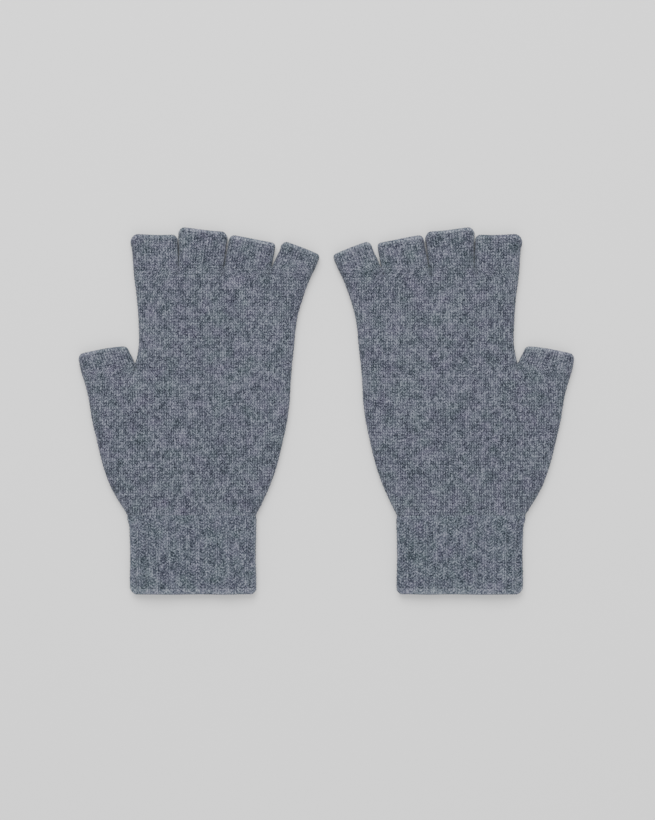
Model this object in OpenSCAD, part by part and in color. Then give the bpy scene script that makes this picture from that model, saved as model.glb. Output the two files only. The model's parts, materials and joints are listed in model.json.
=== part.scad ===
// A pair of knitted fingerless gloves, lying flat side by side with the palms up and the thumbs outward.
// Millimetres. +Z is up from the table, +Y runs from the cuffs to the fingers, +X from the left glove to
// the right one. The origin is on the table, under the middle of the pair. Every knitted piece is a
// flattened tube: a station is the pair of plan points where a tube's two folded sides lie, and a tube
// joins its stations. A glove is worked out thumb on the left, about the middle of its cuff's edge, and
// the other is its mirror image.

/* [Fabric] */
// Thickness of one layer of the knit
fabric_t = 1.5; // [1.2:0.1:1.7]
// Height of a glove as it lies: both layers and the air between
lay_t = 8.4; // [8:0.2:10]
// Gap between the two gloves, from little finger to little finger
pair_gap = 6.6; // [4:0.2:40]

/* [Cuff] */
// Width of the ribbed cuff
cuff_w = 67.8; // [62:0.2:76]
// Length of the cuff, from its edge to the wrist
cuff_len = 43; // [30:1:70]
// Length of the cast-on edge at the end of the cuff
cuff_edge_len = 3.6; // [2:0.2:6]

/* [Hand] */
// Length of the hand from the wrist to the thumb's crotch
hand_len = 82.6; // [75:0.2:95]
// Length of the hand from the thumb's crotch to the fingers' crotches
palm_len = 51.6; // [42:0.2:60]
// How much wider the hand is than the cuff at the wrist: thumb's side, little finger's side
wrist_ease = [1.8, 0.2]; // [0:0.1:4]
// Reach of the hand to the thumb's side, at the thumb's crotch
thumb_side_reach = 63; // [58:0.2:68]
// Reach of the hand to the little finger's side, at the thumb's crotch
little_side_reach = 54; // [50:0.5:60]
// How the heel of the thumb rounds out: the pull on its curve near the wrist, then near the thumb
heel_pull = [56.8, 51.6]; // [46:0.2:60]
// How the hand's other side rounds out: the pull on its curve near the wrist, then near the palm
side_pull = [49.2, 52.6]; // [44:0.2:58]
// Reach of the palm to the thumb's side, at the thumb's crotch
crotch_reach = 31.6; // [28:0.1:36]
// Reach of the palm to the thumb's side, at the fingers' crotches
knuckle_reach = 32.5; // [30:0.1:37]
// How the palm's thumb side hollows: the pull on its curve near the thumb, then near the fingers
hollow_pull = [27.2, 31]; // [25:0.1:34]
// How the palm's other side rounds out: the pull on its curve near the thumb, then near the fingers
palm_pull = [55.7, 56.6]; // [50:0.1:64]

/* [Thumb] */
// Width of the thumb's tube at its base
thumb_w = 28.8; // [26:0.2:31]
// Width of the thumb's opening
thumb_tip_w = 27.2; // [24:0.2:30]
// Length of the thumb's tube beyond its crotch
thumb_len = 10.4; // [8:0.1:40]
// Outward lean of the thumb's tube, in degrees
thumb_lean = 16.5; // [8:0.5:24]
// Slope of the thumb's base and opening, in degrees
thumb_slope = 10.5; // [8:0.5:14]

/* [Fingers] */
// Widths of the four tubes at their base: index, middle, ring, little
finger_w = [24.3, 24.6, 25.9, 23.9]; // [18:0.1:30]
// Widths of the four openings
finger_tip_w = [26, 27.2, 25, 21.9]; // [17:0.1:28]
// Lengths of the four tubes beyond their crotches
finger_len = [18.6, 21.1, 16.2, 12.1]; // [12:0.1:60]
// Leans of the four tubes away from the thumb, in degrees
finger_lean = [-2, 5, 11, 21.5]; // [-6:0.5:26]
// Slopes of the four openings, in degrees, down towards the little finger
tip_slope = [0, 6, 10.5, 22.5]; // [0:0.5:26]
// Length of the bound-off edge at the end of each tube
bind_off_len = 2.2; // [1.6:0.1:3]

/* [Hidden] */
SIDES = ["left", "right"];
DIGITS = ["index", "middle", "ring", "little"];
TUBES = ["cuff", "cuff_edge", "lower_hand", "upper_hand", "thumb", "thumb_edge", "thumb_crotch"];
FINGER_TUBES = [for (d = DIGITS) str(d, "_finger")];
FINGER_EDGES = [for (d = DIGITS) str(d, "_edge")];
CROTCHES = [for (i = [0:2]) str(DIGITS[i], "_", DIGITS[i + 1], "_crotch")];
PIECES = concat(TUBES, FINGER_TUBES, FINGER_EDGES, CROTCHES);
NODES = [for (s = SIDES, p = PIECES) str(s, "_", p)];
node = "all";

SIDE_STEPS = 8;    // flats round each folded side
HAND_STEPS = 11;   // stations along the lower hand
PALM_STEPS = 7;    // stations along the upper hand
ROUND = 48;        // fragments of a round shape
bend_gap = 0.3;    // clear space across each line where the fabric bends
digit_gap = 0.7;   // clear space between neighbouring tubes at their base
crotch_r = 2.4;    // radius of the closed-up stitches at a crotch
crotch_dip = 0.3;  // how far those stitches lie below the fabric round them
crotch_margin = 0.8; // fabric left between those stitches and the line where the fingers part
thumb_crotch_inset = [0.5, 1.3]; // the same margin at the thumb, across the palm and along it
edge_swell = 0.15; // how far a bound-off or cast-on edge stands proud at its sides

wrist_y = cuff_len;
crotch_y = wrist_y + hand_len;
knuckle_y = crotch_y + palm_len;
wrist_reach = [for (ease = wrist_ease) cuff_w / 2 + ease];

// Left ends of the fingers' bases, counted from the thumb's side, and the far end of the last one
function finger_x(i) = i == 0 ? -knuckle_reach : finger_x(i - 1) + finger_w[i - 1];

// A smooth curve through its first and last values, drawn towards the middle two
function cubic(c, t) =
    c[0] * pow(1 - t, 3) + 3 * c[1] * pow(1 - t, 2) * t
    + 3 * c[2] * (1 - t) * pow(t, 2) + c[3] * pow(t, 3);

hand_left = [-wrist_reach[0], -heel_pull[0], -heel_pull[1], -thumb_side_reach];
hand_right = [wrist_reach[1], side_pull[0], side_pull[1], little_side_reach];
palm_left = [-crotch_reach, -hollow_pull[0], -hollow_pull[1], -knuckle_reach];
palm_right = [little_side_reach, palm_pull[0], palm_pull[1], finger_x(4)];

function heading(a) = [sin(a), cos(a)];
function across(a) = [cos(a), sin(a)];
function station(middle, w, slope) = [middle - across(slope) * w / 2, middle + across(slope) * w / 2];
function between(a, b, t) = a + (b - a) * t;

function hand_stations() = [
    for (i = [0:HAND_STEPS])
        let (t = i / HAND_STEPS, y = wrist_y + bend_gap / 2 + t * (hand_len - bend_gap / 2))
        [[cubic(hand_left, t), y], [cubic(hand_right, t), y]]
];
function palm_stations() = [
    for (i = [0:PALM_STEPS])
        let (t = i / PALM_STEPS, y = crotch_y + t * (palm_len - bend_gap / 2))
        [[cubic(palm_left, t), y], [cubic(palm_right, t), y]]
];

// The thumb's base line runs from its crotch down to the hand's outer side
thumb_corner = [-crotch_reach - digit_gap, crotch_y];
thumb_base = [thumb_corner - across(thumb_slope) * thumb_w, thumb_corner];
function thumb_station(t) =
    let (tip = (thumb_base[0] + thumb_base[1]) / 2 + heading(-thumb_lean) * thumb_len)
    between(thumb_base, station(tip, thumb_tip_w, thumb_slope), t);

function finger_base(i) = [
    [finger_x(i) + (i == 0 ? 0 : digit_gap / 2), knuckle_y],
    [finger_x(i + 1) - (i == 3 ? 0 : digit_gap / 2), knuckle_y]
];
function finger_station(i, t) =
    let (base = finger_base(i),
         tip = (base[0] + base[1]) / 2 + heading(finger_lean[i]) * finger_len[i])
    between(base, station(tip, finger_tip_w[i], -tip_slope[i]), t);

// The pair's box, which puts the origin under its middle
tips = [for (i = [0:3]) each finger_station(i, 1)];
glove_top = max([for (p = tips) p.y]);
glove_side = max([for (p = tips) p.x]) + edge_swell;
glove_place = [-glove_side - pair_gap / 2, -glove_top / 2, 0];

// One closed ring of a flattened tube, whose two folded sides are half circles
function ring_point(c, u, r, a) = [c.x + u.x * r * cos(a), c.y + u.y * r * cos(a), lay_t / 2 + r * sin(a)];
function ring(s, inset) =
    let (u = (s[1] - s[0]) / norm(s[1] - s[0]), r = lay_t / 2 - inset, step = 180 / SIDE_STEPS)
    concat(
        [for (i = [0:SIDE_STEPS]) ring_point(s[1] - u * lay_t / 2, u, r, i * step - 90)],
        [for (i = [0:SIDE_STEPS]) ring_point(s[0] + u * lay_t / 2, -u, r, 90 - i * step)]
    );

// A hollow flattened tube through its stations, open at both ends
module sleeve(stations) {
    n = 2 * (SIDE_STEPS + 1);
    m = len(stations);
    outer = [for (s = stations) each ring(s, 0)];
    inner = [for (s = stations) each ring(s, fabric_t)];
    skins = [
        for (j = [0:m - 2], i = [0:n - 1])
            let (k = (i + 1) % n, a = j * n + i, b = j * n + k, c = b + n, d = a + n, o = m * n)
            each [[a, b, c], [a, c, d], [a + o, c + o, b + o], [a + o, d + o, c + o]]
    ];
    ends = [
        for (i = [0:n - 1])
            let (k = (i + 1) % n, o = m * n, e = (m - 1) * n)
            each [
                [i, i + o, k + o],
                [i, k + o, k],
                [e + i, e + k, e + k + o],
                [e + i, e + k + o, e + i + o]
            ]
    ];
    polyhedron(concat(outer, inner), concat(skins, ends), convexity = 6);
}

module flat_oval(w, h) {
    square([w - h, h], center = true);
    for (x = [-1, 1])
        translate([x * (w - h) / 2, 0])
            circle(d = h, $fn = ROUND);
}

// A length of ribbed tube, from y0 to y1
module rib_tube(y0, y1, w) {
    translate([0, y1, lay_t / 2])
        rotate([90, 0, 0])
            linear_extrude(y1 - y0)
                difference() {
                    flat_oval(w, lay_t);
                    flat_oval(w - 2 * fabric_t, lay_t - 2 * fabric_t);
                }
}

module crotch_pin(x, y, h) {
    translate([x, y, (lay_t - h) / 2])
        cylinder(r = crotch_r, h = h, $fn = ROUND);
}

module closed_crotch(x, y) {
    crotch_pin(x, y, lay_t - 2 * crotch_dip);
}

function finger_crotch(i) = [finger_x(i + 1), knuckle_y - crotch_r - crotch_margin];
thumb_crotch_at = [thumb_crotch_inset.x - crotch_reach, crotch_y - crotch_r - thumb_crotch_inset.y];

module cuff() {
    color([0.40, 0.43, 0.48])
        rib_tube(cuff_edge_len, wrist_y - bend_gap / 2, cuff_w);
}

module cuff_edge() {
    color([0.47, 0.50, 0.55])
        rib_tube(0, cuff_edge_len, cuff_w + 2 * edge_swell);
}

module lower_hand() {
    color([0.41, 0.43, 0.48])
        difference() {
            sleeve(hand_stations());
            translate([thumb_corner.x, thumb_corner.y, -lay_t])
                rotate([0, 0, thumb_slope])
                    translate([-2 * thumb_w, -bend_gap / 2, 0])
                        cube([2 * thumb_w, thumb_w, 3 * lay_t]);
            crotch_pin(thumb_crotch_at.x, thumb_crotch_at.y, 3 * lay_t);
        }
}

module upper_hand() {
    color([0.41, 0.44, 0.48])
        difference() {
            sleeve(palm_stations());
            for (i = [0:2])
                crotch_pin(finger_crotch(i).x, finger_crotch(i).y, 3 * lay_t);
        }
}

module thumb() {
    color([0.40, 0.43, 0.47])
        sleeve([for (t = [bend_gap / 2 / thumb_len, 1 - bind_off_len / thumb_len]) thumb_station(t)]);
}

module thumb_edge() {
    color([0.47, 0.50, 0.55])
        sleeve([for (t = [1 - bind_off_len / thumb_len, 1]) thumb_station(t)]);
}

module thumb_crotch() {
    color([0.36, 0.38, 0.43])
        closed_crotch(thumb_crotch_at.x, thumb_crotch_at.y);
}

module finger(i) {
    color([0.40, 0.43, 0.47])
        sleeve([
            for (t = [bend_gap / 2 / finger_len[i], 1 - bind_off_len / finger_len[i]])
                finger_station(i, t)
        ]);
}

module finger_edge(i) {
    color([0.47, 0.50, 0.55])
        sleeve([for (t = [1 - bind_off_len / finger_len[i], 1]) finger_station(i, t)]);
}

module crotch_between(i) {
    color([0.36, 0.38, 0.43])
        closed_crotch(finger_crotch(i).x, finger_crotch(i).y);
}

// Puts a piece in its glove: the right glove is the left one's mirror image
module in_glove(side) {
    mirror([side == "right" ? 1 : 0, 0, 0])
        translate(glove_place)
            children();
}

function wanted(side, piece) = node == "all" || node == str(side, "_", piece);

for (s = SIDES) {
    if (wanted(s, "cuff")) in_glove(s) cuff();
    if (wanted(s, "cuff_edge")) in_glove(s) cuff_edge();
    if (wanted(s, "lower_hand")) in_glove(s) lower_hand();
    if (wanted(s, "upper_hand")) in_glove(s) upper_hand();
    if (wanted(s, "thumb")) in_glove(s) thumb();
    if (wanted(s, "thumb_edge")) in_glove(s) thumb_edge();
    if (wanted(s, "thumb_crotch")) in_glove(s) thumb_crotch();
    for (i = [0:3]) {
        if (wanted(s, FINGER_TUBES[i])) in_glove(s) finger(i);
        if (wanted(s, FINGER_EDGES[i])) in_glove(s) finger_edge(i);
    }
    for (i = [0:2]) {
        if (wanted(s, CROTCHES[i])) in_glove(s) crotch_between(i);
    }
}
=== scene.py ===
"""A pair of knitted fingerless gloves, lying flat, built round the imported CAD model.

Every knitted tube has a base: rows of points along it, with columns round it, and the place of each
point in the knit, counted in wales and courses. The stitches are raised on the base, a lining is laid
inside it, and the two are joined at the ends. The left glove is built from the left glove's CAD nodes,
and the right one is its mirror image, knitted from other random numbers.
"""
import json
import math

import bpy
import numpy as np
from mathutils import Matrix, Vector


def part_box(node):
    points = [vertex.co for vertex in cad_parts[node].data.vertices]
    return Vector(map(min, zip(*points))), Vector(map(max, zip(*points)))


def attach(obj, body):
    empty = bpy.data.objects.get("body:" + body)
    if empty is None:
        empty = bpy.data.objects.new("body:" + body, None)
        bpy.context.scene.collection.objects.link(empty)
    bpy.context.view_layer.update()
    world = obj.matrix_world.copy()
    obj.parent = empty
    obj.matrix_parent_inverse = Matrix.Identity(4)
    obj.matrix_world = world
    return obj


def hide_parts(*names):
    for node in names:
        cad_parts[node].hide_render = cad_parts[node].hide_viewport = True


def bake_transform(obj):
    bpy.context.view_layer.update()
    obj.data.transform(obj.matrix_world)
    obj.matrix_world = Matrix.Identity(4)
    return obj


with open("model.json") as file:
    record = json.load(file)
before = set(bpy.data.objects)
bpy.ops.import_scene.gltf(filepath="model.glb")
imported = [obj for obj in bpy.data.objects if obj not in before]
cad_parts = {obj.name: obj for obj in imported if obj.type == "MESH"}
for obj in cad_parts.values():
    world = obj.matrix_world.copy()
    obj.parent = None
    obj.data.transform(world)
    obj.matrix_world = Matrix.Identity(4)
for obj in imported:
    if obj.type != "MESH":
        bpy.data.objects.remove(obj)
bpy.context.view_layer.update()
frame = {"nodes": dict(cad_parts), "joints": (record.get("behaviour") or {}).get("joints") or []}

MM = 0.001
SIDES = ("left", "right")
DIGITS = ("index", "middle", "ring", "little")
JOINTS = {j["name"]: j for j in frame["joints"]}

PLAN_REACH = 0.02 * MM      # how near a node's half height the points of its plan outline lie
LEVEL_DECIMALS = 1          # rows of outline points are told apart to this many decimals of a millimetre
LEVEL_REACH = 0.15          # and a row's points lie this near its level, in millimetres
OUTLINE_DEGREE = 3          # degree of the curves through a section's folds
TINY = 1e-12                # keeps a division from being by nothing

# ---------------------------------------------------------------- sizes of the knit, in metres

WALE = 2.6 * MM             # width of a stitch
COURSE = 1.75 * MM          # height of a stitch
FABRIC = 1.45 * MM          # thickness of the knit
CUFF_WALES = 27             # wales across one side of the cuff, lying flat
TUBE_WALES = {"thumb": 11, "index": 10, "middle": 10, "ring": 10, "little": 9}

STITCH_RISE = 0.15 * MM     # relief of a stitch
STITCH_LEAN = 1.5           # how far a stitch's legs rise from its middle to its sides, in courses
RIB_RISE = 0.42 * MM        # relief of a rib
RIB_START = 3 * MM          # length over which the ribs of the cuff come up from the wrist
RAGGED = 0.05 * MM          # unevenness of the yarn
RAGGED_PATCH = 3            # mesh rows and columns that share one unevenness
LEG_BEAT = 0.45             # how much a stitch's legs rise and fall along it
PURL_SWAY = 0.22            # how far a purl bump bends along the knit, in courses
RISE_LEVEL = 0.45           # the relief's height that lies on the base
RIB_SHARPNESS = 2.2         # how steeply a rib turns into a furrow
FURROW_MIDDLE = 0.5         # the furrow's purl comes up by smooth(middle - steepness * profile)
FURROW_STEEPNESS = 1.5
TONE_TABLE = (64, 128)      # courses and legs after which the stitches' tones repeat
LINING_GAP = 0.03 * MM      # least space between a tube's middle and its lining
CHAIN_RISE = 0.14           # relief of the chain of bound-off stitches, as a share of its radius
CHAIN_SLANT = 0.9           # how far each of its stitches leans round the rim, in half wales

HAND_STEP = (0.42 * MM, 0.5 * MM)    # mesh size of the hand, across and along
TUBE_STEP = 0.45 * MM                # mesh size of the other tubes, along
TUBE_COLUMNS = 6                     # mesh columns to a wale in a digit
CUFF_COLUMNS = 8                     # mesh columns to a wale in the cuff
HAND_LINING = 4             # the lining's mesh is this much coarser, in the hand
TUBE_LINING = 2             # and in the other tubes
ROUND_STEPS = 6             # mesh rows round the rim of an opening
FADE_ROWS = 2               # mesh rows over which the stitches fade at a join

PINCH_REACH = 9 * MM        # how far below a crotch the fabric starts to dip
PINCH_POWER = 1.5           # how late it dips
THUMB_SHARE = 0.1           # how near the thumb its crotch lies, between the palm and the thumb
CROTCH_REACH = 0.25         # share of the palm's length over which its side comes back from the crotch
WRIST_RATE = 3              # the lower hand has changed from the cuff's form to its own by 1/3 of its length
CUFF_FLARE = 7 * MM         # length over which the cuff widens into the hand
TIP_REACH = 8 * MM          # how far back from an opening its rounding is felt

# How an opening is rounded: the radius of its corners, thumb side first, how far its middle stands out,
# and how much lower it is on its other side
TIPS = {
    "cuff": (3.2 * MM, 2.2 * MM, 0, 0),
    "thumb": (2.9 * MM, 1.6 * MM, 0.6 * MM, 0.3 * MM),
    "index": (4.6 * MM, 2.4 * MM, 0.1 * MM, 0.5 * MM),
    "middle": (3.4 * MM, 3.8 * MM, 0, 0.1 * MM),
    "ring": (2.6 * MM, 1.4 * MM, 0.1 * MM, 0),
    "little": (2.6 * MM, 1.2 * MM, 0.3 * MM, 0),
}
EDGE_LENGTH = 2.2 * MM      # length of the bound-off edge of a digit

# How a flattened tube lies: the height of its folds, then its upper and lower sheets
HAND_FORM = dict(
    mid=3.6 * MM, top=4.0 * MM, low=3.2 * MM, shoulder=7.5 * MM, low_shoulder=4.0 * MM, crown=0.10
)
CUFF_FORM = dict(
    mid=3.6 * MM, top=3.8 * MM, low=3.2 * MM, shoulder=6.0 * MM, low_shoulder=4.0 * MM, crown=0.08
)
DIGIT_FORM = dict(
    mid=3.6 * MM, top=3.6 * MM, low=3.2 * MM, shoulder=4.6 * MM, low_shoulder=3.6 * MM, crown=0.06
)
FOLD_SAMPLES = 361          # points along a sheet's section before they are spaced evenly
FOLD_POWER = 2.4            # how square the shoulders of a section are
SHOULDER_LIMIT = 0.8        # a shoulder takes up this much of half the width at most

DIP_RANGE = (14, 46 * MM, 13 * MM)    # the waves of the upper sheet: how many, the longest, the shortest
SWAY_RANGE = (6, 60 * MM, 16 * MM)    # the same for the folds in plan
SETTLE_SEED = 7
DIP = 0.42 * MM             # how far the upper sheet dips and rises
DIP_LEVEL = 0.6             # how far it lies below its plan, in dips
SWAY = 0.14 * MM            # how far the folds wander in plan
FLOOR_GAP = 0.02 * MM       # the lower sheet is pressed flat this far above the floor

CROTCH_STRANDS = (-1, 0, 1)    # the strands of yarn at a crotch, counted from its middle
CROTCH_SPACING = 3          # columns between the strands
CROTCH_ROWS = 6             # rows that a strand reaches back, at least
CROTCH_RAGGED = 3           # and fewer than this many more
STRAND = 0.4 * MM           # radius of a strand of yarn
STRAND_PROUD = 0.4          # how far its middle lies above the knit, in radii
STRAND_TUCK = 2             # how far its ends go down into the knit, in radii
STRAND_RINGS = 26
STRAND_SIDES = 10
PLIES = 2
PLY_RISE = 0.18             # relief of the plies, as a share of the radius
PLY_TWIST = 2.2 * MM        # length of one turn of the plies

SEED_STEP = 100             # each glove's random numbers start this far from the other's


def mixed(a, b, t):
    """A form that lies between two others."""
    return {k: a[k] + (b[k] - a[k]) * t for k in a}


def smooth(t):
    """A soft step from 0 to 1."""
    t = np.clip(t, 0, 1)
    return t * t * (3 - 2 * t)


# ---------------------------------------------------------------- the glove's plan, from the CAD nodes

def fold_points(node):
    """A node's plan points at half its height, where its two folds are furthest out."""
    mesh = frame["nodes"][node].data
    points = np.empty(len(mesh.vertices) * 3)
    mesh.vertices.foreach_get("co", points)
    points = points.reshape(-1, 3)
    middle = (points[:, 2].min() + points[:, 2].max()) / 2
    return points[abs(points[:, 2] - middle) < PLAN_REACH][:, :2]


def outline(node, last_y=math.inf):
    """Cubics for the x of a section's two folds, as they run along y. The thumb's side stops at last_y."""
    points = fold_points(node)
    middle = (points[:, 0].min() + points[:, 0].max()) / 2
    levels = np.unique(np.round(points[:, 1] / MM, LEVEL_DECIMALS))
    sides = []
    for pick, sign in ((np.argmin, -1), (np.argmax, 1)):
        rows = [points[abs(points[:, 1] / MM - level) < LEVEL_REACH] for level in levels]
        found = np.array([row[pick(row[:, 0])] for row in rows])
        found = found[(found[:, 0] - middle) * sign > 0]
        if sign < 0:
            found = found[found[:, 1] < last_y]
        sides.append(np.polyfit(found[:, 1], found[:, 0], OUTLINE_DEGREE))
    return sides


def digit_ends(node):
    """The corners of a digit's near end and of its far end, thumb side first."""
    points = fold_points(node)
    middle = points.mean(0)
    across = np.linalg.svd(points - middle)[2][0]
    across = across * np.sign(across[0])
    out = np.array([-across[1], across[0]])
    pairs = []
    for sign in (-1, 1):
        end = points[sign * ((points - middle) @ out) > 0]
        reach = end @ across
        pairs.append((end[reach.argmin()], end[reach.argmax()]))
    return pairs


def joint_place(name):
    return np.array(JOINTS[name]["pos_m"])


wrist_y = joint_place("left_cuff_bend")[1]
knuckle_y = joint_place("left_index_bend")[1]
crotch_y = fold_points("left_upper_hand")[:, 1].min()
cuff_low, cuff_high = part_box("left_cuff_edge")
centre_x = (cuff_low.x + cuff_high.x) / 2

thumb_near, _ = digit_ends("left_thumb")
hand_sides = outline("left_lower_hand", thumb_near[0][1])
palm_sides = outline("left_upper_hand")
palm_corner = np.polyval(palm_sides[0], crotch_y)
thumb_crotch = np.array([palm_corner + (thumb_near[1][0] - palm_corner) * THUMB_SHARE, crotch_y])
thumb_axis = np.array(JOINTS["left_thumb_bend"]["axis"])[:2]
thumb_middle = joint_place("left_thumb_bend")[:2]
thumb_outer = thumb_middle + thumb_axis * ((thumb_near[0] - thumb_middle) @ thumb_axis)

near = {d: digit_ends(f"left_{d}_finger")[0] for d in DIGITS}
far = {d: digit_ends(f"left_{d}_edge")[1] for d in ("thumb",) + DIGITS}
crotches = [(near[a][1][0] + near[b][0][0]) / 2 for a, b in zip(DIGITS, DIGITS[1:])]
knuckles = [np.array([x, knuckle_y]) for x in [near["index"][0][0]] + crotches + [near["little"][1][0]]]
base = {d: (knuckles[i], knuckles[i + 1]) for i, d in enumerate(DIGITS)}
base["thumb"] = (thumb_outer, thumb_crotch)


# ---------------------------------------------------------------- bases of the tubes

def half_sheet(half_width, count, height, shoulder, crown):
    """count + 1 even points along one sheet of a flattened tube, from fold to fold: across it and up."""
    s = -np.cos(np.linspace(0, math.pi, FOLD_SAMPLES))
    into = half_width * (1 - abs(s)) / min(shoulder, SHOULDER_LIMIT * half_width)
    rounded = (1 - np.clip(1 - into, 0, 1) ** FOLD_POWER) ** (1 / FOLD_POWER)
    up = height * rounded * (1 - crown * s * s)
    across = half_width * s
    run = np.concatenate([[0], np.cumsum(np.hypot(np.diff(across), np.diff(up)))])
    at = np.linspace(0, run[-1], count + 1)
    return np.interp(at, run, across), np.interp(at, run, up)


def ring(left, right, columns, form):
    """The upper and the lower sheet of a flattened tube between two plan points, each from left to right."""
    half = np.linalg.norm(right - left) / 2
    along = (right - left) / (2 * half)
    sheets = []
    for sign, height, shoulder, crown in (
        (1, form["top"], form["shoulder"], form["crown"]),
        (-1, form["low"], form["low_shoulder"], 0),
    ):
        across, up = half_sheet(half, columns, height, shoulder, crown)
        plan = (left + right) / 2 + across[:, None] * along
        sheets.append(np.column_stack([plan, form["mid"] + sign * up]))
    return sheets


def side_by_side(rings):
    """The sheets of several tubes that share their folds."""
    return [np.concatenate([r[k][:-1] for r in rings[:-1]] + [rings[-1][k]]) for k in (0, 1)]


def closed(sheets):
    """Once round a tube: along its upper sheet and back along the lower one."""
    return np.concatenate([sheets[0], sheets[1][-2:0:-1]])


def even_columns(width):
    """Mesh columns across a width of the hand, a multiple of what the lining needs."""
    return round(width / HAND_STEP[0] / HAND_LINING) * HAND_LINING


def hand_stitches(sheets):
    """The place in the knit of the points of two sheets. The wales run straight along y from the cuff."""
    places = []
    for sheet in sheets:
        run = np.concatenate([[0], np.cumsum(np.hypot(np.diff(sheet[:, 0]), np.diff(sheet[:, 2])))])
        wales = (run - np.interp(centre_x, sheet[:, 0], run)) / WALE
        places.append(np.column_stack([wales, (sheet[:, 1] - wrist_y) / COURSE]))
    return places


def section(length, corners, line, groups, forms, end_forms):
    """The base of a part of the hand that ends side by side as narrower tubes: points and places in the knit.

    corners(v) gives its two folds and line(x, v) the y of its rows, at v from 0 to 1 along it. groups is a
    list of (share of the width, columns) for the tubes that it ends as, and end_forms says how those lie.
    """
    rows = round(length / HAND_STEP[1])
    columns = sum(c for _, c in groups)
    points, places = [], []
    for v in np.linspace(0, 1, rows + 1):
        left, right = corners(v)
        wide = ring(left * [1, 0], right * [1, 0], columns, forms(v))
        for sheet in wide:
            sheet[:, 1] = line(sheet[:, 0], v)
        x = left[0] + np.cumsum([0] + [s for s, _ in groups]) * (right[0] - left[0])
        plan = np.column_stack([x, line(x, v)])
        ends = zip(plan, plan[1:], groups, end_forms)
        narrow = side_by_side([ring(a, b, count, form) for a, b, (_, count), form in ends])
        k = smooth(1 - (1 - v) * length / PINCH_REACH) ** PINCH_POWER
        sheets = [a + (b - a) * k for a, b in zip(wide, narrow)]
        points.append(closed(sheets))
        places.append(closed(hand_stitches(sheets)))
    return np.array(points), np.array(places)


def hand_corners(v):
    low = wrist_y + v * (thumb_outer[1] - wrist_y)
    high = wrist_y + v * (crotch_y - wrist_y)
    return np.array([np.polyval(hand_sides[0], low), low]), np.array([np.polyval(hand_sides[1], high), high])


def hand_line(x, v):
    slope = (thumb_crotch[1] - thumb_outer[1]) / (thumb_crotch[0] - thumb_outer[0])
    end = crotch_y + np.minimum(x - thumb_crotch[0], 0) * slope
    return wrist_y + v * (end - wrist_y)


def palm_corners(v):
    y = crotch_y + v * (knuckle_y - crotch_y)
    ends = [np.polyval(side, y) for side in palm_sides]
    ends[0] += (thumb_crotch[0] - palm_corner) * smooth(1 - v / CROTCH_REACH)
    return np.array([ends[0], y]), np.array([ends[1], y])


def palm_line(x, v):
    return np.full_like(x, crotch_y + v * (knuckle_y - crotch_y))


def lower_hand_base():
    left, right = hand_corners(1)
    share = (thumb_crotch[0] - left[0]) / (right[0] - left[0])
    groups = [(s, even_columns(s * (right[0] - left[0]))) for s in (share, 1 - share)]
    made = section(crotch_y - wrist_y, hand_corners, hand_line, groups,
                   lambda v: mixed(CUFF_FORM, HAND_FORM, smooth(v * WRIST_RATE)), [DIGIT_FORM, HAND_FORM])
    return made, np.cumsum([c for _, c in groups])


def upper_hand_base():
    left, right = palm_corners(1)
    widths = np.diff([left[0]] + crotches + [right[0]])
    groups = [(w / widths.sum(), even_columns(w)) for w in widths]
    made = section(knuckle_y - crotch_y, palm_corners, palm_line, groups,
                   lambda v: mixed(HAND_FORM, dict(DIGIT_FORM, shoulder=HAND_FORM["shoulder"]), smooth(v)),
                   [DIGIT_FORM] * len(DIGITS))
    return made, np.cumsum([c for _, c in groups])


def tube(corners, length, wales, columns, form, tip):
    """The base of a straight tube that ends in a rounded opening.

    corners(v) gives its two folds, and a wale has this many columns.
    """
    rows = round(length / TUBE_STEP)
    wale = np.linspace(0, wales, wales * columns + 1)
    points, places = [], []
    for v in np.linspace(0, 1, rows + 1):
        left, right = corners(v)
        half = np.linalg.norm(right - left) / 2
        along = (right - left) / (2 * half)
        turned = np.array([-along[1], along[0]])
        out = turned * np.sign(length_way(corners) @ turned)
        weight = smooth(1 - (1 - v) * length / min(TIP_REACH, length))
        sheets = ring(left, right, wales * columns, form)
        for sheet in sheets:
            reach = (sheet[:, :2] - (left + right) / 2) @ along / half
            corner = np.where(reach < 0, tip[0], tip[1])
            into = np.clip((abs(reach) - 1) * half / corner + 1, 0, 1)
            bow = tip[2] * (1 - reach ** 2) - tip[3] * (reach + 1) / 2
            shift = bow - corner * (1 - np.sqrt(1 - into * into))
            sheet[:, :2] += weight * shift[:, None] * out
        course = np.full_like(wale, v * length / COURSE)
        upper_places = np.column_stack([wale, course])
        lower_places = np.column_stack([2 * wales - wale, course])
        points.append(closed(sheets))
        places.append(closed([upper_places, lower_places]))
    return np.array(points), np.array(places)


def length_way(corners):
    """Which way a tube runs from its near end."""
    return sum(corners(1)) - sum(corners(0))


def digit_base(digit):
    """The base of a digit's tube, from the knuckles or the palm to its rim."""
    near_pair, far_pair = base[digit], far[digit]
    whole = np.linalg.norm(sum(far_pair) - sum(near_pair)) / 2
    stop = 1 - FABRIC / 2 / whole

    def corners(v):
        return [a + (b - a) * v * stop for a, b in zip(near_pair, far_pair)]

    return tube(corners, whole * stop, TUBE_WALES[digit], TUBE_COLUMNS, DIGIT_FORM, TIPS[digit])


def cuff_base():
    """The base of the cuff, whose rows run from the wrist to its edge."""
    wrist = hand_corners(0)
    length = wrist_y - cuff_low.y - FABRIC / 2

    def corners(v):
        flare = float(1 - smooth(v * length / CUFF_FLARE))
        left = cuff_low.x + (wrist[0][0] - cuff_low.x) * flare
        right = cuff_high.x + (wrist[1][0] - cuff_high.x) * flare
        return [np.array([x, wrist_y - v * length]) for x in (left, right)]

    return tube(corners, length, CUFF_WALES, CUFF_COLUMNS, CUFF_FORM, TIPS["cuff"])


# ---------------------------------------------------------------- how the fabric settles

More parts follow.
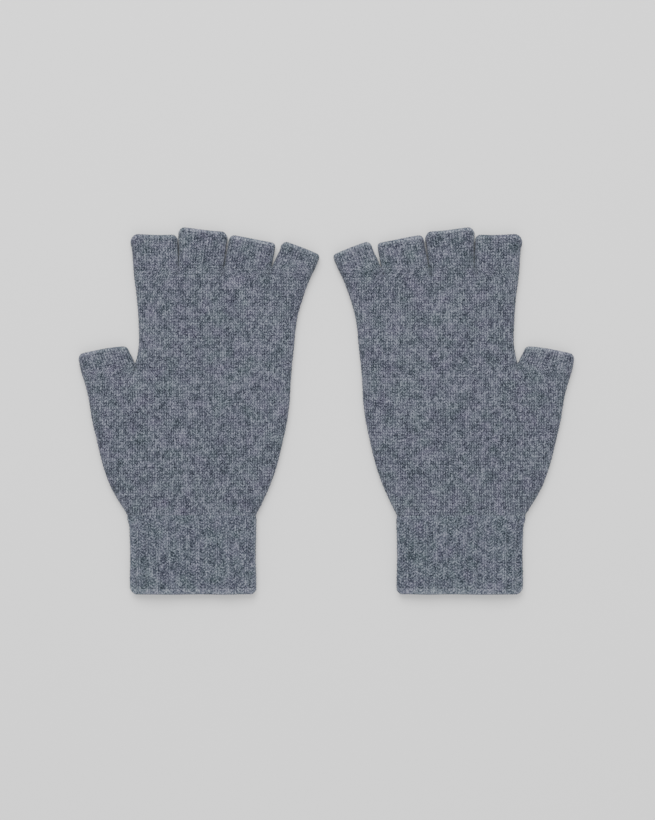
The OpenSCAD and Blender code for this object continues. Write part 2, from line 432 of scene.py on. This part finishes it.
rng = np.random.default_rng(SETTLE_SEED)


def waves(count, longest, shortest):
    """Random plane waves, as (wave numbers in x and y, phases)."""
    length = longest * (shortest / longest) ** rng.random(count)
    angle = rng.random(count) * 2 * math.pi
    k = 2 * math.pi / length
    return np.column_stack([k * np.cos(angle), k * np.sin(angle)]), rng.random(count) * 2 * math.pi


DIP_WAVES = waves(*DIP_RANGE)
SWAY_WAVES = [waves(*SWAY_RANGE) for _ in range(2)]


def wave_sum(plan, pack):
    """The height of a set of plane waves at these plan points."""
    numbers, phases = pack
    return np.sin(plan @ numbers.T + phases).sum(-1) / math.sqrt(len(phases) / 2)


def settle(points):
    """The upper sheet dips and rises a little where it lies, and the folds wander."""
    plan = points[..., :2]
    upper = smooth((points[..., 2] - HAND_FORM["mid"]) / HAND_FORM["top"])
    moved = points.copy()
    moved[..., 2] += DIP * upper * (wave_sum(plan, DIP_WAVES) - DIP_LEVEL)
    for k in (0, 1):
        moved[..., k] += SWAY * wave_sum(plan, SWAY_WAVES[k])
    moved[..., 2] = np.maximum(moved[..., 2], FLOOR_GAP)
    return moved


# ---------------------------------------------------------------- stitches

def stitch_legs(places):
    """How far out a plain stitch's two legs stand at these places, from 0 to 1, and each leg's own course."""
    side = abs(places[..., 0] % 1 - 0.5)
    course = places[..., 1] - STITCH_LEAN * side
    across = np.sin(2 * math.pi * side) ** 2
    return across * (1 - LEG_BEAT + LEG_BEAT * np.cos(2 * math.pi * course)), course


def purl_bumps(places):
    """The same for the back of the knit, whose bumps lie across it."""
    bent = places[..., 1] + PURL_SWAY * np.cos(2 * math.pi * places[..., 0])
    return 0.5 + 0.5 * np.cos(2 * math.pi * bent)


def rib_profile(wales):
    """1 on a rib and -1 in a furrow."""
    return np.tanh(RIB_SHARPNESS * np.sin(math.pi * wales)) / math.tanh(RIB_SHARPNESS)


def normals(points, outward):
    """Which way the outside of a base faces at each of its points."""
    around = np.roll(points, -1, 1) - np.roll(points, 1, 1)
    along = np.gradient(points, axis=0)
    found = np.cross(around, along) * outward
    return found / np.maximum(np.linalg.norm(found, axis=-1, keepdims=True), TINY)


class Knit:
    """The stitches of a tube, raised on its base. outward is -1 where its columns run the other way round."""

    def __init__(self, base_points, places, seed, fades=(True, True), rib=False, outward=1):
        draw = np.random.default_rng(seed)
        self.points = base_points
        self.places = places
        self.draw = draw
        self.normal = normals(base_points, outward)
        rows = np.arange(len(base_points))[:, None]
        ends = [np.where(f, r, FADE_ROWS) for f, r in zip(fades, (rows, rows[::-1]))]
        fade = smooth(np.minimum(*ends) / FADE_ROWS)
        legs, course = stitch_legs(places)
        self.plain = np.ones(places.shape[:2])
        rib_rise = 0
        if rib:
            profile = rib_profile(places[..., 0])
            strength = smooth(places[..., 1] * COURSE / RIB_START)
            rib_rise = RIB_RISE * profile * strength
            self.plain = 1 - strength * smooth(FURROW_MIDDLE - FURROW_STEEPNESS * profile)
        rise = legs * self.plain + purl_bumps(places) * (1 - self.plain) - RISE_LEVEL
        table = draw.random(TONE_TABLE)
        leg = (2 * places[..., 0]).astype(int)
        leg_course = np.floor(course + 0.5).astype(int)
        self.tone = table[leg_course % TONE_TABLE[0], leg % TONE_TABLE[1]]
        columns = np.arange(places.shape[1])[None, :]
        patches = len(base_points) // RAGGED_PATCH + 2, places.shape[1] // RAGGED_PATCH + 1
        uneven = draw.normal(size=patches)[rows // RAGGED_PATCH, columns // RAGGED_PATCH]
        self.rise = (2 * STITCH_RISE * rise + RAGGED * uneven) * fade + rib_rise
        self.outer = base_points + self.normal * self.rise[..., None]

    def part(self, first, last):
        """Its outer side between two rows: points, tone and stitch."""
        rows = slice(first, last + 1)
        stitch = np.dstack([self.places[rows], self.plain[rows]])
        return self.outer[rows], self.tone[rows], stitch

    def rim(self):
        """Rows round the edge of its opening, from the outer side over to the lining."""
        out = self.points[-1] - self.points[-2]
        out = out / np.linalg.norm(out, axis=-1, keepdims=True)
        centre = self.points[-1] - self.normal[-1] * FABRIC / 2
        wale, course = self.places[-1, :, 0], self.places[-1, :, 1]
        tone = self.draw.random(len(wale))
        rows, tones, stitches = [], [], []
        for turn in np.linspace(0, math.pi, ROUND_STEPS + 2)[1:-1]:
            chain = 1 + CHAIN_RISE * np.cos(2 * math.pi * (2 * wale + turn / math.pi * CHAIN_SLANT))
            radius = (FABRIC / 2 * chain)[:, None]
            rows.append(centre + radius * (self.normal[-1] * math.cos(turn) + out * math.sin(turn)))
            tones.append(tone)
            beyond = course + turn * FABRIC / 2 / COURSE
            stitches.append(np.column_stack([wale, beyond, np.zeros_like(wale)]))
        return np.array(rows), np.array(tones), np.array(stitches)

    def lining(self, first, last, skip):
        """The inner side from the last row back to the first, on every skip-th row and column."""
        rows = np.unique(np.append(np.arange(first, last, skip), last))[::-1]
        inner = self.points[rows] - self.normal[rows] * FABRIC
        bumps = (purl_bumps(self.places[rows]) - 0.5) * 2 * STITCH_RISE
        bumps[[0, -1]] = 0
        inner += self.normal[rows] * -bumps[..., None]
        half = self.points.shape[1] // 2
        inner[:, 1:half, 2] = np.maximum(inner[:, 1:half, 2], HAND_FORM["mid"] + LINING_GAP)
        inner[:, half + 1:, 2] = np.minimum(inner[:, half + 1:, 2], HAND_FORM["mid"] - LINING_GAP)
        stitch = np.dstack([self.places[rows], np.zeros_like(self.places[rows][..., 0])])
        tone = self.draw.random((len(rows), inner.shape[1]))
        return inner[:, ::skip], tone[:, ::skip], stitch[:, ::skip]


# ---------------------------------------------------------------- meshes

def tube_mesh(name, parts, flip):
    """A closed mesh from parts that run on from one another, each of them rows of points, tone and stitch.

    A part may have fewer columns than the one before, and the last part runs back to the first one.
    """
    rows = [row for part in parts for row in zip(*part)]
    counts = [len(row[0]) for row in rows]
    starts = np.concatenate([[0], np.cumsum(counts)])
    faces = []
    for a in range(len(rows)):
        b = (a + 1) % len(rows)
        if counts[a] == counts[b]:
            i = np.arange(counts[a])
            k = (i + 1) % counts[a]
            faces.append(np.column_stack([starts[a] + i, starts[a] + k, starts[b] + k, starts[b] + i]))
        else:
            fine, coarse = (a, b) if counts[a] > counts[b] else (b, a)
            ratio = counts[fine] // counts[coarse]
            i = np.arange(counts[coarse])
            k = (i + 1) % counts[coarse]
            edge = [starts[fine] + (i * ratio + m) % counts[fine] for m in range(ratio + 1)]
            face = np.column_stack(edge + [starts[coarse] + k, starts[coarse] + i])
            faces.append(face if fine == a else face[:, ::-1])
    points, tone, stitch = (np.concatenate([row[k] for row in rows]) for k in range(3))
    return make_object(name, settle(points), faces, tone, stitch, flip)


def make_object(name, points, faces, tone, stitch, flip):
    """An object with smooth faces, which carries what its material reads. flip mirrors it in x."""
    if flip:
        points = points * [-1, 1, 1]
        faces = [f[:, ::-1] for f in faces]
    loops = np.concatenate([f.ravel() for f in faces]).astype(np.int32)
    sizes = np.concatenate([np.full(len(f), f.shape[1]) for f in faces]).astype(np.int32)
    mesh = bpy.data.meshes.new(name)
    mesh.vertices.add(len(points))
    mesh.vertices.foreach_set("co", points.astype(np.float32).ravel())
    mesh.loops.add(len(loops))
    mesh.loops.foreach_set("vertex_index", loops)
    mesh.polygons.add(len(sizes))
    loop_starts = np.concatenate([[0], np.cumsum(sizes)[:-1]]).astype(np.int32)
    mesh.polygons.foreach_set("loop_start", loop_starts)
    mesh.polygons.foreach_set("loop_total", sizes)
    mesh.update(calc_edges=True)
    mesh.polygons.foreach_set("use_smooth", np.ones(len(sizes), bool))
    for title, kind, field, values in (
        ("rest_mm", "FLOAT_VECTOR", "vector", points / MM),
        ("stitch", "FLOAT_VECTOR", "vector", stitch),
        ("tone", "FLOAT", "value", tone),
    ):
        layer = mesh.attributes.new(title, kind, "POINT")
        layer.data.foreach_set(field, values.astype(np.float32).ravel())
    made = bpy.data.objects.new(name, mesh)
    bpy.context.scene.collection.objects.link(made)
    return made


# ---------------------------------------------------------------- materials

# Noises of the colour: scale to the millimetre, detail, roughness, and how it is squeezed in x, y and z
FLECKS = (1.9, 2.0, 0.75)
FIBRES = (1.35, 3.0, 0.75, (2.4, 1.0, 2.4))
CLOUDS = (0.22, 2.0, 0.6)
HUES = (0.11, 2.0, 0.6)

# How much each thing sways the colour, and how far from the middle the ramp reaches its ends
FLECK_SHARE = 0.45
FIBRE_SHARE = 0.34
CLOUD_SHARE = 0.08
# painted shade and light from the stitches' relief: grooves darker, raised legs lighter
RELIEF_SHADE_SHARE = 0.07
TONE_SHARE = 0.06
RAMP_REACH = 0.08
HUE_SWAY = 0.16             # how far the hue wanders from place to place
FURROW_SHADE = 0.016        # and how much darker the furrows of a rib are: painted shade

# The relief that the render adds to the mesh's own
LEG_POWER = 1.4             # how narrow the legs of a plain stitch are
BUMP_BEAT = 0.4             # how much they rise and fall along it
BUMP_PURL = 0.35            # height of the purl bumps, each way
BUMP_PURL_LEVEL = 0.5       # and the height of their middle
BUMP_FIBRES = 0.8           # weight of the fibres in the relief
BUMP_STITCHES = 0.7         # and of the stitches
BUMP_STRENGTH = 0.6
BUMP_DISTANCE = 0.2 * MM

WOOL_ROUGHNESS = 0.95
WOOL_SPECULAR = 0.2
SHEEN = 0.15
SHEEN_ROUGHNESS = 0.5
SHEEN_TINT = (0.80, 0.84, 0.90, 1)


class Nodes:
    """Short ways to add nodes to a material's tree."""

    def __init__(self, material):
        self.tree = material.node_tree
        self.shader = self.tree.nodes["Principled BSDF"]

    def add(self, kind, **values):
        node = self.tree.nodes.new(kind)
        for key, value in values.items():
            setattr(node, key, value)
        return node

    def link(self, source, target):
        self.tree.links.new(source, target)

    def math(self, operation, *values):
        node = self.add("ShaderNodeMath", operation=operation)
        for socket, value in zip(node.inputs, values):
            if isinstance(value, (int, float)):
                socket.default_value = value
            else:
                self.link(value, socket)
        return node.outputs["Value"]

    def noise(self, vector, scale, detail, roughness, stretch=(1, 1, 1)):
        mapping = self.add("ShaderNodeMapping")
        mapping.inputs["Scale"].default_value = stretch
        self.link(vector, mapping.inputs["Vector"])
        made = self.add("ShaderNodeTexNoise")
        made.inputs["Scale"].default_value = scale
        made.inputs["Detail"].default_value = detail
        made.inputs["Roughness"].default_value = roughness
        self.link(mapping.outputs["Vector"], made.inputs["Vector"])
        return made.outputs["Fac"]

    def attribute(self, name, output):
        return self.add("ShaderNodeAttribute", attribute_name=name).outputs[output]


def stitch_height(n, wale, course, plain):
    """The relief of the stitches, finer than the mesh: the legs of plain stitches, or purl bumps."""
    side = n.math("ABSOLUTE", n.math("SUBTRACT", n.math("FRACT", wale), 0.5))
    leg_course = n.math("SUBTRACT", course, n.math("MULTIPLY", side, STITCH_LEAN))
    across = n.math("POWER", n.math("SINE", n.math("MULTIPLY", side, 2 * math.pi)), LEG_POWER)
    beat = n.math("COSINE", n.math("MULTIPLY", leg_course, 2 * math.pi))
    beat = n.math("MULTIPLY_ADD", beat, BUMP_BEAT, 1 - BUMP_BEAT)
    legs = n.math("MULTIPLY", across, beat)
    sway = n.math("MULTIPLY", n.math("COSINE", n.math("MULTIPLY", wale, 2 * math.pi)), PURL_SWAY)
    bumps = n.math("COSINE", n.math("MULTIPLY", n.math("ADD", course, sway), 2 * math.pi))
    bumps = n.math("MULTIPLY_ADD", bumps, BUMP_PURL, BUMP_PURL_LEVEL)
    lifted = n.math("MULTIPLY", n.math("SUBTRACT", legs, bumps), plain)
    return n.math("ADD", bumps, lifted)


def knit_material(name, dark, middle, light):
    """Heathered wool: fine flecks, yarn that changes tone from stitch to stitch, painted shade in the grooves
    of the stitches and the furrows of the rib, and a soft sheen.
    """
    material = bpy.data.materials.new(name)
    material.use_nodes = True
    n = Nodes(material)
    rest = n.attribute("rest_mm", "Vector")
    flecks = n.noise(rest, *FLECKS)
    fibres = n.noise(rest, *FIBRES)
    clouds = n.noise(rest, *CLOUDS)
    split = n.add("ShaderNodeSeparateXYZ")
    n.link(n.attribute("stitch", "Vector"), split.inputs["Vector"])
    wale, course, plain = (split.outputs[k] for k in "XYZ")
    height = stitch_height(n, wale, course, plain)
    mix = n.math("MULTIPLY", flecks, FLECK_SHARE)
    mix = n.math("MULTIPLY_ADD", fibres, FIBRE_SHARE, mix)
    mix = n.math("MULTIPLY_ADD", clouds, CLOUD_SHARE, mix)
    # painted shade: the relief darkens the stitches' grooves and lightens their legs
    mix = n.math("MULTIPLY_ADD", height, RELIEF_SHADE_SHARE, mix)
    mix = n.math("MULTIPLY_ADD", n.attribute("tone", "Fac"), TONE_SHARE, mix)
    # painted shade in the furrows of the rib
    mix = n.math("SUBTRACT", mix, n.math("MULTIPLY", n.math("SUBTRACT", 1, plain), FURROW_SHADE))
    ramp = n.add("ShaderNodeValToRGB")
    stops = ramp.color_ramp.elements
    stops[0].position = 0.5 - RAMP_REACH
    stops[0].color = (*dark, 1)
    stops[1].position = 0.5 + RAMP_REACH
    stops[1].color = (*light, 1)
    centre = stops.new(0.5)
    centre.color = (*middle, 1)
    n.link(mix, ramp.inputs["Fac"])
    tint = n.add("ShaderNodeHueSaturation")
    hue = n.math("MULTIPLY_ADD", n.noise(rest, *HUES), HUE_SWAY, 0.5 - HUE_SWAY / 2)
    n.link(hue, tint.inputs["Hue"])
    n.link(ramp.outputs["Color"], tint.inputs["Color"])
    n.link(tint.outputs["Color"], n.shader.inputs["Base Color"])

    bump = n.add("ShaderNodeBump")
    bump.inputs["Strength"].default_value = BUMP_STRENGTH
    bump.inputs["Distance"].default_value = BUMP_DISTANCE
    relief = n.math("MULTIPLY_ADD", fibres, BUMP_FIBRES, n.math("MULTIPLY", height, BUMP_STITCHES))
    n.link(relief, bump.inputs["Height"])
    n.link(bump.outputs["Normal"], n.shader.inputs["Normal"])
    n.shader.inputs["Roughness"].default_value = WOOL_ROUGHNESS
    n.shader.inputs["Specular IOR Level"].default_value = WOOL_SPECULAR
    n.shader.inputs["Sheen Weight"].default_value = SHEEN
    n.shader.inputs["Sheen Roughness"].default_value = SHEEN_ROUGHNESS
    n.shader.inputs["Sheen Tint"].default_value = SHEEN_TINT
    return material


def linear(r, g, b):
    """The linear colour of an 8-bit sRGB one, by the standard's own formula."""
    def one(c):
        c /= 255
        return c / 12.92 if c <= 0.04045 else ((c + 0.055) / 1.055) ** 2.4
    return one(r), one(g), one(b)


def heather(name, middle, spread):
    """A knit whose flecks run from spread below the middle colour to spread above it."""
    return knit_material(name, *(linear(*(c + k * spread for c in middle)) for k in (-1, 0, 1)))


MATERIALS = {
    "plain_knit": heather("plain_knit", (73, 77, 88), 53),
    "rib_knit": heather("rib_knit", (76, 81, 92), 54),
    # the knit of the opening edges is a lighter copy: painted highlight where the rims catch the light
    "edge_knit": heather("edge_knit", (93, 98, 109), 51),
    # the yarn at the crotches is a darker copy of the knit: painted shade between the digits
    "crotch_stitches": heather("crotch_stitches", (69, 73, 83), 46),
}


# ---------------------------------------------------------------- the pieces

def finish_piece(piece, slot, node):
    """Its material, and the CAD node that it stands for."""
    piece.data.materials.append(MATERIALS[slot])
    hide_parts(node)


def make_section(side, name, made, seed):
    """A part of the hand, joined to other tubes at both ends."""
    knit = Knit(*made, seed)
    last = len(made[0]) - 1
    parts = [knit.part(0, last), knit.lining(0, last, HAND_LINING)]
    piece = tube_mesh(f"{side}_{name}_knit", parts, side == "right")
    finish_piece(piece, "plain_knit", f"{side}_{name}")
    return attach(piece, f"{side}_hand")


def make_tube(side, names, slot, made, edge_length, seed, rib=False, outward=1):
    """A tube from the hand to an opening: the tube itself, and its edge, which has the rim."""
    points, places = made
    flip = side == "right"
    turned = flip != (outward < 0)
    knit = Knit(points, places, seed, (True, False), rib, outward)
    last = len(points) - 1
    split = last - round((edge_length - FABRIC / 2) / TUBE_STEP)
    blocks = {
        names[0]: [knit.part(0, split), knit.lining(0, split, TUBE_LINING)],
        names[1]: [knit.part(split, last), knit.rim(), knit.lining(split, last, 1)],
    }
    # the edge takes the lighter knit, a painted highlight on the rim
    for name, part_slot in zip(names, (slot, "edge_knit")):
        piece = tube_mesh(f"{side}_{name}_knit", blocks[name], turned)
        if turned != flip:
            piece.data.transform(Matrix.Scale(-1, 4, (1, 0, 0)))
        finish_piece(piece, part_slot, f"{side}_{name}")
        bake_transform(piece)


def resampled(path, count):
    """A path as this many evenly spaced points."""
    run = np.concatenate([[0], np.cumsum(np.linalg.norm(np.diff(path, axis=0), axis=1))])
    at = np.linspace(0, run[-1], count)
    return np.column_stack([np.interp(at, run, path[:, k]) for k in range(3)])


def strand(path, draw):
    """Rings of points round a path, with the plies of the yarn twisting along it."""
    along = np.gradient(path, axis=0)
    along /= np.linalg.norm(along, axis=1, keepdims=True)
    side = np.cross(along, [1.0, 0, 0])
    side /= np.linalg.norm(side, axis=1, keepdims=True)
    other = np.cross(along, side)
    run = np.concatenate([[0], np.cumsum(np.linalg.norm(np.diff(path, axis=0), axis=1))])
    angle = np.linspace(0, 2 * math.pi, STRAND_SIDES, endpoint=False)[None, :]
    twist = run[:, None] / PLY_TWIST * 2 * math.pi
    radius = STRAND * (1 + PLY_RISE * np.cos(PLIES * (angle + twist)))
    spoke = np.cos(angle)[..., None] * side[:, None] + np.sin(angle)[..., None] * other[:, None]
    rings = path[:, None] + radius[..., None] * spoke
    return rings, draw.random((len(path), 1)) * np.ones((1, STRAND_SIDES))


def make_crotch(side, name, made, column, seed):
    """Closed-up stitches: strands of yarn from sheet to sheet over the place where two tubes part."""
    table = made[0]
    normal = normals(table, 1)
    draw = np.random.default_rng(seed)
    points, faces, tones = [], [], []
    start = 0
    i = np.arange(STRAND_SIDES)
    following = (i + 1) % STRAND_SIDES
    for k in CROTCH_STRANDS:
        c = column + k * CROTCH_SPACING
        reach = CROTCH_ROWS + draw.integers(0, CROTCH_RAGGED)
        rows = np.arange(len(table) - 1 - reach, len(table))
        upper = table[rows, c] + normal[rows, c] * STRAND * STRAND_PROUD
        lower = table[rows, -c] + normal[rows, -c] * STRAND * STRAND_PROUD
        saddle = (upper[-1] + lower[-1]) / 2
        upper[0] -= normal[rows[0], c] * STRAND * STRAND_TUCK
        lower[0] -= normal[rows[0], -c] * STRAND * STRAND_TUCK
        path = np.concatenate([upper, saddle[None], lower[::-1]])
        rings, ring_tones = strand(resampled(path, STRAND_RINGS), draw)
        for r in range(len(rings) - 1):
            a = start + r * STRAND_SIDES
            b = a + STRAND_SIDES
            faces.append(np.column_stack([a + i, a + following, b + following, b + i]))
        faces.append((start + i[::-1])[None])
        faces.append((start + (len(rings) - 1) * STRAND_SIDES + i)[None])
        points.append(rings.reshape(-1, 3))
        tones.append(ring_tones.ravel())
        start += len(points[-1])
    points = np.concatenate(points)
    stitch = np.zeros((len(points), 3))
    title = f"{side}_{name}_yarn"
    piece = make_object(title, settle(points), faces, np.concatenate(tones), stitch, side == "right")
    # its darker knit is painted shade between the digits
    finish_piece(piece, "crotch_stitches", f"{side}_{name}")
    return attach(piece, f"{side}_hand")


def make_glove(side, seed):
    """All the pieces of one glove, each with a seed of its own."""
    crotch_names = [f"{a}_{b}_crotch" for a, b in zip(DIGITS, DIGITS[1:])]
    lower = make_section(side, "lower_hand", lower_hand, seed)
    upper = make_section(side, "upper_hand", upper_hand, seed + 1)
    thumb_strands = make_crotch(side, "thumb_crotch", lower_hand, lower_columns[0], seed + 2)
    strands = [make_crotch(side, name, upper_hand, column, seed + 3 + i)
               for i, (name, column) in enumerate(zip(crotch_names, upper_columns))]
    cuff_names = ("cuff", "cuff_edge")
    cuff_edge_length = cuff_high.y - cuff_low.y
    make_tube(side, cuff_names, "rib_knit", cuff, cuff_edge_length, seed + 6, rib=True, outward=-1)
    for i, digit in enumerate(("thumb",) + DIGITS):
        names = ("thumb" if digit == "thumb" else f"{digit}_finger", f"{digit}_edge")
        make_tube(side, names, "plain_knit", digit_base(digit), EDGE_LENGTH, seed + 7 + i)


# ---------------------------------------------------------------- floor, light and camera

IMAGE = (655, 820)
FRAME_WIDTH = 357.6 * MM    # what the picture spans on the table
CAMERA_PLACE = (0.6 * MM, 0.4 * MM)    # the point of the table that it looks straight down at
LENS = 85.0                 # in millimetres, as is the sensor's height
SENSOR = 36.0
VIEW_END = 20               # how far the camera sees

FLOOR_REACH = 3.0           # half the width of the floor
FLOOR_COLOUR = (226, 226, 226)
FLOOR_ROUGHNESS = 0.95
FLOOR_SPECULAR = 0.1

# Each light's place, size and power. They shine at the middle of the floor
KEY_LIGHT = ((-0.15, 0.75, 1.15), 0.9, 21)
FILL_LIGHT = ((0.2, -0.6, 1.6), 1.6, 13)
SKY_STRENGTH = 0.815


def floor_material():
    material = bpy.data.materials.new("floor")
    material.use_nodes = True
    shader = material.node_tree.nodes["Principled BSDF"]
    shader.inputs["Base Color"].default_value = (*linear(*FLOOR_COLOUR), 1)
    shader.inputs["Roughness"].default_value = FLOOR_ROUGHNESS
    shader.inputs["Specular IOR Level"].default_value = FLOOR_SPECULAR
    return material


def make_floor():
    corners = [(FLOOR_REACH * x, FLOOR_REACH * y, 0) for x, y in ((-1, -1), (1, -1), (1, 1), (-1, 1))]
    mesh = bpy.data.meshes.new("floor")
    mesh.from_pydata(corners, [], [(0, 1, 2, 3)])
    floor = bpy.data.objects.new("floor", mesh)
    bpy.context.scene.collection.objects.link(floor)
    mesh.materials.append(floor_material())


def area_light(name, place, size, power):
    """A square light that shines at the middle of the floor."""
    light = bpy.data.lights.new(name, "AREA")
    light.shape = "SQUARE"
    light.size = size
    light.energy = power
    holder = bpy.data.objects.new(name, light)
    bpy.context.scene.collection.objects.link(holder)
    holder.location = place
    holder.rotation_euler = (-Vector(place)).to_track_quat("-Z", "Y").to_euler()


def make_camera():
    """It looks straight down, and sees FRAME_WIDTH of the table."""
    data = bpy.data.cameras.new("camera")
    camera = bpy.data.objects.new("camera", data)
    bpy.context.scene.collection.objects.link(camera)
    data.sensor_fit = "VERTICAL"
    data.sensor_height = SENSOR
    data.lens = LENS
    height = FRAME_WIDTH * IMAGE[1] / IMAGE[0]
    camera.location = (*CAMERA_PLACE, height * LENS / SENSOR)
    data.clip_end = VIEW_END
    bpy.context.scene.camera = camera


def make_world():
    world = bpy.data.worlds.new("studio")
    world.use_nodes = True
    background = world.node_tree.nodes["Background"]
    background.inputs["Color"].default_value = (1, 1, 1, 1)
    background.inputs["Strength"].default_value = SKY_STRENGTH
    bpy.context.scene.world = world


make_floor()
make_camera()
area_light("key", *KEY_LIGHT)
area_light("fill", *FILL_LIGHT)
make_world()

lower_hand, lower_columns = lower_hand_base()
upper_hand, upper_columns = upper_hand_base()
cuff = cuff_base()
for number, side in enumerate(SIDES):
    make_glove(side, SEED_STEP * (number + 1))
